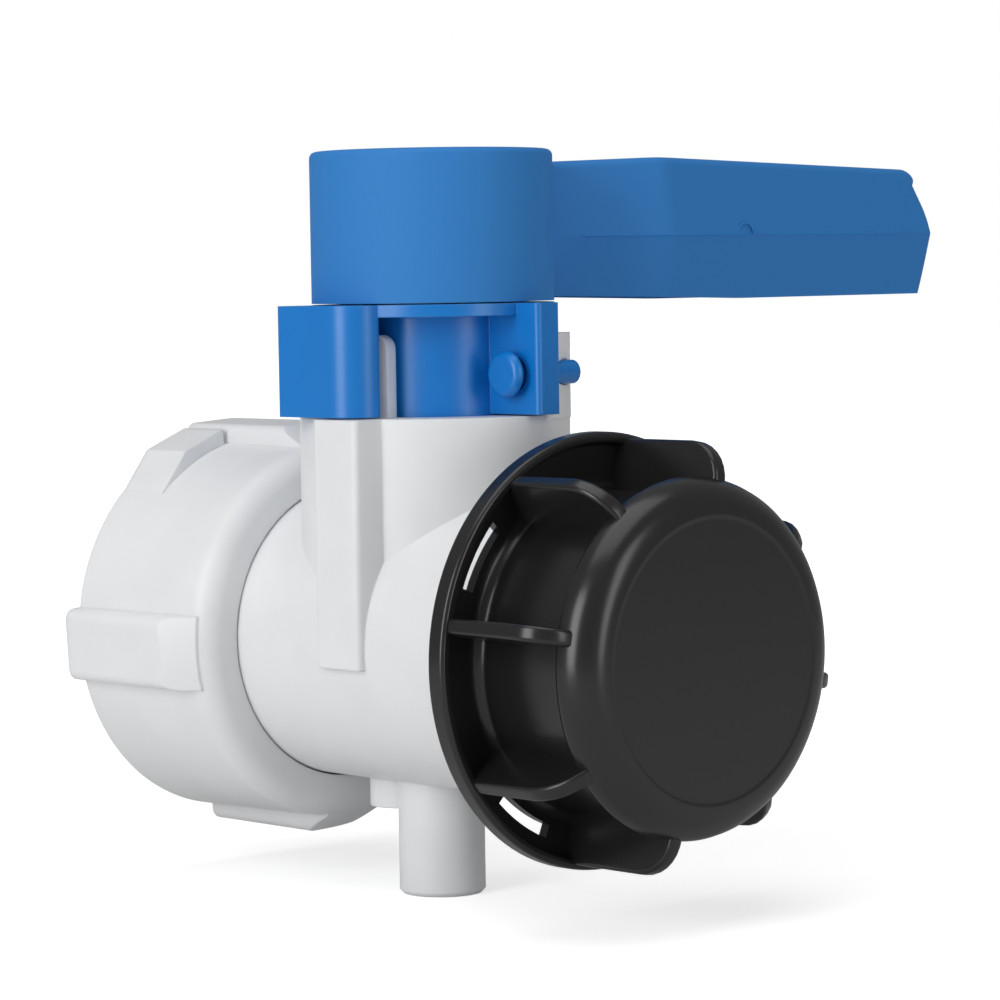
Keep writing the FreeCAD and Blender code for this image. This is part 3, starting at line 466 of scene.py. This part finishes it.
def cut_from(piece, shape):
    """Takes a bmesh away from a piece, and keeps the plain result."""
    tool = new_piece("tool", shape)
    modifier = piece.modifiers.new("cut", "BOOLEAN")
    modifier.object, modifier.operation, modifier.solver = tool, "DIFFERENCE", "EXACT"
    piece.data = plain_mesh(piece)
    piece.modifiers.clear()
    bpy.data.objects.remove(tool)


def stand_for(piece, body, finish, *nodes):
    """Gives a finished piece its shading, finish and body, and puts it in place of its plain solids."""
    piece.modifiers.new("shading", "WEIGHTED_NORMAL").keep_sharp = True
    piece.data = plain_mesh(piece)
    piece.modifiers.clear()
    piece.data.materials.clear()
    piece.data.materials.append(bpy.data.materials[finish])
    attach(piece, body)
    if nodes:
        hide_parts(*nodes)


# ---------------------------------------------------------------- settings
class ValveLook(bpy.types.PropertyGroup):
    """Colours of the moulded parts."""
    body_colour: bpy.props.FloatVectorProperty(
        name="Body", description="Natural white of the valve body and union nut", subtype="COLOR", size=3,
        min=0.0, max=1.0, default=(0.82, 0.83, 0.84))
    handle_colour: bpy.props.FloatVectorProperty(
        name="Handle", description="Blue of the handle, collar and pin", subtype="COLOR", size=3,
        min=0.0, max=1.0, default=(0.004, 0.19, 0.6))
    cap_colour: bpy.props.FloatVectorProperty(
        name="Cap", description="Black of the outlet cap", subtype="COLOR", size=3,
        min=0.0, max=1.0, default=(0.002, 0.002, 0.0021))


class ValveThreads(bpy.types.PropertyGroup):
    """Sizes of the coarse outlet thread and of the inlet thread."""
    pitch: bpy.props.FloatProperty(
        name="Pitch", description="Advance of either thread in one turn", subtype="DISTANCE",
        unit="LENGTH", default=0.006)
    depth: bpy.props.FloatProperty(
        name="Depth", description="Height of the outlet thread above the spout's root",
        subtype="DISTANCE", unit="LENGTH", default=0.0024)
    spout_root: bpy.props.FloatProperty(
        name="Spout root radius", description="Radius of the spout under its thread",
        subtype="DISTANCE", unit="LENGTH", default=0.0274)
    cap_bore: bpy.props.FloatProperty(
        name="Cap bore radius", description="Radius inside the cap, from which its thread stands inward",
        subtype="DISTANCE", unit="LENGTH", default=CAP_BORE)
    nut_bore: bpy.props.FloatProperty(
        name="Nut bore radius",
        description="Radius inside the union nut, from which its thread stands inward",
        subtype="DISTANCE", unit="LENGTH", default=0.0375)


class ValveCap(bpy.types.PropertyGroup):
    """Sizes of the outlet cap."""
    rim_radius: bpy.props.FloatProperty(
        name="Rim radius", description="Radius of the grip rim at the cap's front",
        subtype="DISTANCE", unit="LENGTH", default=0.0368)
    rim_rounding: bpy.props.FloatProperty(
        name="Rim rounding", description="Rounding from the rim to the front face",
        subtype="DISTANCE", unit="LENGTH", default=0.0072)
    front_set_back: bpy.props.FloatProperty(
        name="Front set back", description="How far the face lies behind the solid's front",
        subtype="DISTANCE", unit="LENGTH", default=0.0015)
    wall_radius: bpy.props.FloatProperty(
        name="Wall radius", description="Outer radius of the wall between the ribs",
        subtype="DISTANCE", unit="LENGTH", default=0.0332)
    rib_thickness: bpy.props.FloatProperty(
        name="Rib thickness", description="Thickness of each grip rib",
        subtype="DISTANCE", unit="LENGTH", default=0.0034)
    rib_rounding: bpy.props.FloatProperty(
        name="Rib rounding", description="Rounding of each rib's front shoulder",
        subtype="DISTANCE", unit="LENGTH", default=0.0085)
    rib_turn: bpy.props.FloatProperty(
        name="Rib turn", description="Angle of the first rib from +X", subtype="ANGLE",
        unit="ROTATION", default=math.radians(79))


class ValveHandle(bpy.types.PropertyGroup):
    """How the mould shapes the lever."""
    parting_height: bpy.props.FloatProperty(
        name="Parting height", description="Height of the lever's parting line",
        subtype="DISTANCE", unit="LENGTH", default=0.0857)
    draft: bpy.props.FloatProperty(
        name="Draft", description="How far the sides draw in from the parting line to the hub's top level",
        subtype="DISTANCE", unit="LENGTH", default=0.0028)
    root: bpy.props.FloatProperty(
        name="Root", description="Distance from the stem at which the draft begins",
        subtype="DISTANCE", unit="LENGTH", default=0.0285)
    end_length: bpy.props.FloatProperty(
        name="End length", description="Length at the tip over which the end face draws in",
        subtype="DISTANCE", unit="LENGTH", default=0.006)


class ValveStage(bpy.types.PropertyGroup):
    """Light levels."""
    lamp_power: bpy.props.FloatProperty(
        name="Lamp power", description="Power of each side lamp", subtype="POWER", unit="POWER", default=5.1)
    sky_level: bpy.props.FloatProperty(
        name="Sky level", description="Strength of the even light from all round", default=0.24)


# ---------------------------------------------------------------- operators
class VALVE_OT_finishes(bpy.types.Operator):
    """Gives every solid its moulded finish"""
    bl_idname = "valve.finishes"
    bl_label = "Finishes"

    def execute(self, context):
        edge_rub_group()
        moulded_grain_group()
        scuff_group()
        made = build_materials(context.scene.valve_look)
        for name, finish in FINISHES.items():
            data = NODES[name].data
            data.materials.clear()
            data.materials.append(made[finish])
        return {"FINISHED"}


class VALVE_OT_cap(bpy.types.Operator):
    """Turns the outlet cap, cuts its flange and sets its ribs"""
    bl_idname = "valve.cap"
    bl_label = "Outlet Cap"

    def execute(self, context):
        sizes = context.scene.valve_cap
        rear, front = CAP_HIGH.y, CAP_LOW.y
        face = front + sizes.front_set_back
        flange = CAP_HIGH.z
        shape = bmesh.new()
        add_lathe(shape, self.profile(sizes, rear, front, face, flange), 128)
        bmesh.ops.recalc_face_normals(shape, faces=shape.faces)
        cap = new_piece("outlet_cap_dressed", shape)
        cut_from(cap, self.openings(sizes, rear))
        shape = bmesh.new()
        shape.from_mesh(cap.data)
        self.ribs(shape, sizes, rear, face, flange)
        shape.to_mesh(cap.data)
        shape.free()
        cap.data.shade_smooth()
        cap.data.set_sharp_from_angle(angle=math.radians(SMOOTH))
        stand_for(cap, "cap", "cap_black", "outlet_cap")
        return {"FINISHED"}

    def profile(self, sizes, rear, front, face, flange):
        """The cap's section, from its bore round the flange, the wall and the rim to its inside."""
        lip_front, web_front = rear - FLANGE_LIP, rear - FLANGE_WEB
        rim_start, dish, inside = face + RIM_LENGTH, face + FACE_DISH, front + FRONT_WALL
        ring = sizes.rim_radius - sizes.rim_rounding - 0.0006
        return rounded_outline([
            (rear, CAP_BORE), (rear, flange, 0.0008),
            (lip_front, flange, 0.001), (lip_front, flange - 0.0022, 0.0006),
            (web_front, flange - 0.0028), (web_front, sizes.wall_radius, 0.0028),
            (rim_start, sizes.wall_radius, 0.0008), (rim_start - 0.0012, sizes.rim_radius, 0.0018),
            (face, sizes.rim_radius, sizes.rim_rounding),
            (face, ring), (dish, ring - 0.0002), (dish, ring - 0.0008), (dish, 0.0),
            (inside, 0.0), (inside, CAP_BORE),
        ])

    def openings(self, sizes, rear):
        """The openings through the flange, each midway between two ribs."""
        shape = bmesh.new()
        reach, steps = OPENING_HALF_TURN, 6
        for k in range(OPENING_COUNT):
            middle = sizes.rib_turn - math.pi / RIB_COUNT + k * 2 * math.pi / OPENING_COUNT
            turns = [middle - reach + 2 * reach * step / steps for step in range(steps + 1)]
            ends = [[about_flow(along, OPENING_INNER, turn) for turn in turns]
                    + [about_flow(along, OPENING_OUTER, turn) for turn in reversed(turns)]
                    for along in (rear + 0.002, rear - 0.006)]
            add_prism(shape, *ends)
        return shape

    def ribs(self, shape, sizes, rear, face, flange):
        """The grip ribs, every other one with a longer fall to the rim."""
        for k in range(RIB_COUNT):
            outline = rounded_outline([
                (rear - 0.0012, sizes.wall_radius - 0.001), (rear - 0.0012, flange - 0.001),
                (face + 0.0045, flange - 0.001, sizes.rib_rounding * (LONG_FALL if k % 2 else 1.0)),
                (face + 0.0045, sizes.rim_radius - 0.0055), (face + 0.0065, sizes.wall_radius - 0.001),
            ])
            turn = sizes.rib_turn + k * 2 * math.pi / RIB_COUNT
            across = about_flow(0.0, 1.0, turn + math.pi / 2) * (sizes.rib_thickness / 2)
            add_prism(shape, [about_flow(p.x, p.y, turn) - across for p in outline],
                      [about_flow(p.x, p.y, turn) + across for p in outline], soft=0.0009)


class VALVE_OT_handle(bpy.types.Operator):
    """Draws the lever's sides in above and below its parting line, as the mould's draft does"""
    bl_idname = "valve.handle"
    bl_label = "Handle"

    def execute(self, context):
        sizes = context.scene.valve_handle
        shape = bmesh.new()
        shape.from_mesh(NODES["handle"].data)
        shape.transform(NODES["handle"].matrix_world)
        bmesh.ops.remove_doubles(shape, verts=shape.verts, dist=MERGE)
        level, root = sizes.parting_height, sizes.root
        for spot, normal in (((0, 0, level), (0, 0, 1)), ((root, 0, 0), (1, 0, 0))):
            bmesh.ops.bisect_plane(shape, geom=shape.verts[:] + shape.edges[:] + shape.faces[:],
                                   dist=MERGE, plane_co=spot, plane_no=normal)
        low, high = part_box("handle")
        for vert in shape.verts:
            if vert.co.x < root - 1e-5:
                continue
            rise = abs(vert.co.z - level) / (high.z - level)
            vert.co.y -= math.copysign(sizes.draft * rise, vert.co.y)
            if vert.co.x > high.x - sizes.end_length:
                vert.co.x -= sizes.draft * rise
        bmesh.ops.recalc_face_normals(shape, faces=shape.faces)
        handle = new_piece("handle_dressed", shape, smooth=28.0)
        for edge in handle.data.edges:
            ends = [handle.data.vertices[i].co for i in edge.vertices]
            if all(abs(end.z - level) < 1e-5 and end.x > root - 1e-5 for end in ends):
                edge.use_edge_sharp = True
        stand_for(handle, "lever", "handle_blue", "handle")
        return {"FINISHED"}


class VALVE_OT_marks(bpy.types.Operator):
    """Raises the lever's parting line and gate mark"""
    bl_idname = "valve.marks"
    bl_label = "Mould Marks"

    def execute(self, context):
        sizes = context.scene.valve_handle
        level, end = sizes.parting_height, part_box("handle")[1].x
        start, root_half = sizes.root + 0.005, 0.0121
        shoulder, shoulder_half, end_half = 0.0535, 0.0195, 0.0116
        plan = rounded_outline([
            (start, -root_half), (shoulder, -shoulder_half, 0.009), (end, -end_half, 0.004),
            (end, end_half, 0.004), (shoulder, shoulder_half, 0.009), (start, root_half),
        ])
        self.bead("parting_line", [(p.x, p.y, level) for p in plan], 0.0002)
        centre, radius = end - 0.072, 0.0026
        side = -shoulder_half + (shoulder_half - end_half) * (centre - shoulder) / (end - shoulder)
        arch = [(centre + radius * math.cos(a), side, level + radius * math.sin(a))
                for a in (math.pi * k / 12 for k in range(13))]
        self.bead("gate_mark", arch, 0.00022)
        return {"FINISHED"}

    def bead(self, name, points, radius):
        """A thin round ridge along a path, on the lever."""
        line = bpy.data.curves.new(name, "CURVE")
        line.dimensions, line.bevel_depth, line.bevel_resolution = "3D", radius, 2
        line.use_fill_caps = True
        spline = line.splines.new("POLY")
        spline.points.add(len(points) - 1)
        for spot, point in zip(spline.points, points):
            spot.co = (*point, 1.0)
        holder = bpy.data.objects.new(name + "_curve", line)
        bpy.context.scene.collection.objects.link(holder)
        shape = merged_shape(plain_mesh(holder))
        bpy.data.objects.remove(holder)
        stand_for(new_piece(name, shape), "lever", "handle_blue")


class VALVE_OT_threads(bpy.types.Operator):
    """Winds the threads of the spout, the cap and the union nut"""
    bl_idname = "valve.threads"
    bl_label = "Threads"

    def execute(self, context):
        sizes = context.scene.valve_threads
        pitch, depth = sizes.pitch, sizes.depth
        thread_group()
        spout_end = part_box("valve_body")[0].y
        nut_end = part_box("union_nut")[1].y
        build_thread("outlet_thread", "valve", "body_white", Radius=sizes.spout_root, Depth=depth,
                     Pitch=pitch, Turns=3.6, Start=spout_end + pitch * 0.6, Inward=1.0)
        build_thread("cap_thread", "cap", "cap_black", Radius=sizes.cap_bore, Depth=depth * 0.9,
                     Pitch=pitch, Turns=3.6, Start=spout_end + pitch * 1.1, Inward=-1.0)
        build_thread("nut_thread", "nut", "body_white", Radius=sizes.nut_bore, Depth=depth * 0.6,
                     Pitch=pitch, Turns=3.8, Start=nut_end - pitch * 4.5, Inward=-1.0)
        return {"FINISHED"}


class VALVE_OT_stage(bpy.types.Operator):
    """Adds the floor, the soft lamps and the camera"""
    bl_idname = "valve.stage"
    bl_label = "Stage"

    def execute(self, context):
        settings = context.scene.valve_stage
        self.floor(CAD_LOW.z)
        self.world(settings.sky_level)
        self.lamps(settings.lamp_power)
        self.camera()
        context.scene.view_settings.view_transform = "Standard"
        return {"FINISHED"}

    def seen_ray(self, tree):
        """1 for what the camera or glass sees, less for gloss, 0 for what only lights the object."""
        path = tree.nodes.new("ShaderNodeLightPath")
        straight = maths(tree, "MAXIMUM", path.outputs["Is Camera Ray"],
                         path.outputs["Is Transmission Ray"])
        glossy = maths(tree, "MULTIPLY", path.outputs["Is Glossy Ray"], GLOSSY_SHARE)
        return maths(tree, "MAXIMUM", straight, glossy)

    def floor(self, height):
        """A pale floor that glows less under the valve, so that the shadow stays."""
        half = 4.0
        mesh = bpy.data.meshes.new("floor")
        mesh.from_pydata([(x * half, y * half, height) for x, y in ((-1, -1), (1, -1), (1, 1), (-1, 1))],
                         [], [(0, 1, 2, 3)])
        plane = bpy.data.objects.new("floor", mesh)
        bpy.context.scene.collection.objects.link(plane)
        material, tree, shader = new_material("floor_white")
        plain_inputs(shader, Base_Color=(0.8, 0.8, 0.8, 1.0), Roughness=0.9, Specular_IOR_Level=0.1,
                     Emission_Color=(1.0, 1.0, 1.0, 1.0))
        where = add_node(tree, "ShaderNodeTexCoord").outputs["Object"]
        reach = add_node(tree, "ShaderNodeVectorMath", operation="LENGTH", i0=where).outputs["Value"]
        glow = remap(tree, reach, 0.08, 0.4, 0.6, 1.0)
        tree.links.new(maths(tree, "MULTIPLY", glow, self.seen_ray(tree)), shader.inputs["Emission Strength"])
        mesh.materials.append(material)
        plane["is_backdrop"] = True

    def world(self, level):
        """White to the camera, and an even soft light to the valve."""
        world = bpy.data.worlds.new("studio")
        bpy.context.scene.world = world
        world.use_nodes = True
        tree = world.node_tree
        tree.nodes.clear()
        out = tree.nodes.new("ShaderNodeOutputWorld")
        even = add_node(tree, "ShaderNodeBackground", Color=(1.0, 1.0, 1.0, 1.0), Strength=level)
        white = add_node(tree, "ShaderNodeBackground", Color=(1.0, 1.0, 1.0, 1.0), Strength=1.0)
        mix = add_node(tree, "ShaderNodeMixShader", i0=self.seen_ray(tree), i1=even.outputs[0],
                       i2=white.outputs[0])
        tree.links.new(mix.outputs[0], out.inputs["Surface"])

    def lamps(self, power):
        """The soft lamps: name, azimuth, elevation, distance, width, height and watts."""
        target = (CAD_LOW + CAD_HIGH) / 2
        rows = (
            ("lamp_left", 184.0, 14.0, 1.0, 0.42, 0.8, power),
            ("lamp_right", 272.0, 12.0, 1.0, 0.3, 0.8, power * 0.45),
            ("lamp_top", 200.0, 80.0, 1.0, 0.9, 0.9, power * 0.75),
        )
        for name, azimuth, elevation, distance, wide, tall, watts in rows:
            a, e = math.radians(azimuth), math.radians(elevation)
            back = Vector((math.cos(a) * math.cos(e), math.sin(a) * math.cos(e), math.sin(e)))
            light = bpy.data.lights.new(name, "AREA")
            light.shape, light.size, light.size_y, light.energy = "RECTANGLE", wide, tall, watts
            lamp = bpy.data.objects.new(name, light)
            bpy.context.scene.collection.objects.link(lamp)
            lamp.location = target + back * distance
            lamp.rotation_mode = "QUATERNION"
            lamp.rotation_quaternion = back.to_track_quat("Z", "Y")

    def camera(self):
        lens = bpy.data.cameras.new("camera")
        lens.sensor_width, lens.lens = 36.0, 136.99
        lens.clip_start, lens.clip_end = 0.01, 50.0
        eye = bpy.data.objects.new("camera", lens)
        bpy.context.scene.collection.objects.link(eye)
        right = Vector((0.730145, -0.683108, -0.015867)).normalized()
        ahead = Vector((0.681216, 0.729538, -0.060984)).normalized()
        up = right.cross(ahead).normalized()
        turn = Matrix((right, up, -ahead)).transposed().to_4x4()
        eye.matrix_world = Matrix.Translation((-0.547388, -0.606253, 0.079136)) @ turn
        bpy.context.scene.camera = eye


class VALVE_PT_panel(bpy.types.Panel):
    """Lists the steps and settings of the valve"""
    bl_label = "Container Valve"
    bl_idname = "VALVE_PT_panel"
    bl_space_type = "VIEW_3D"
    bl_region_type = "UI"
    bl_category = "Valve"

    def draw(self, context):
        scene = context.scene
        for name in SETTINGS:
            settings, box = getattr(scene, name), self.layout.box()
            for key in settings.__annotations__:
                box.prop(settings, key)
        for operator in OPERATORS:
            self.layout.operator(operator.bl_idname)


OPERATORS = (
    VALVE_OT_finishes, VALVE_OT_cap, VALVE_OT_handle, VALVE_OT_marks, VALVE_OT_threads, VALVE_OT_stage)
CLASSES = (ValveLook, ValveCap, ValveHandle, ValveThreads, ValveStage, *OPERATORS, VALVE_PT_panel)
SETTINGS = {
    "valve_look": ValveLook,
    "valve_cap": ValveCap,
    "valve_handle": ValveHandle,
    "valve_threads": ValveThreads,
    "valve_stage": ValveStage,
}


def register():
    for item in CLASSES:
        bpy.utils.register_class(item)
    for name, group in SETTINGS.items():
        setattr(bpy.types.Scene, name, bpy.props.PointerProperty(type=group))


def unregister():
    for name in SETTINGS:
        delattr(bpy.types.Scene, name)
    for item in reversed(CLASSES):
        bpy.utils.unregister_class(item)


def main():
    register()
    bpy.ops.valve.finishes()
    bpy.ops.valve.cap()
    bpy.ops.valve.handle()
    bpy.ops.valve.marks()
    bpy.ops.valve.threads()
    bpy.ops.valve.stage()


if __name__ == "__main__":
    main()
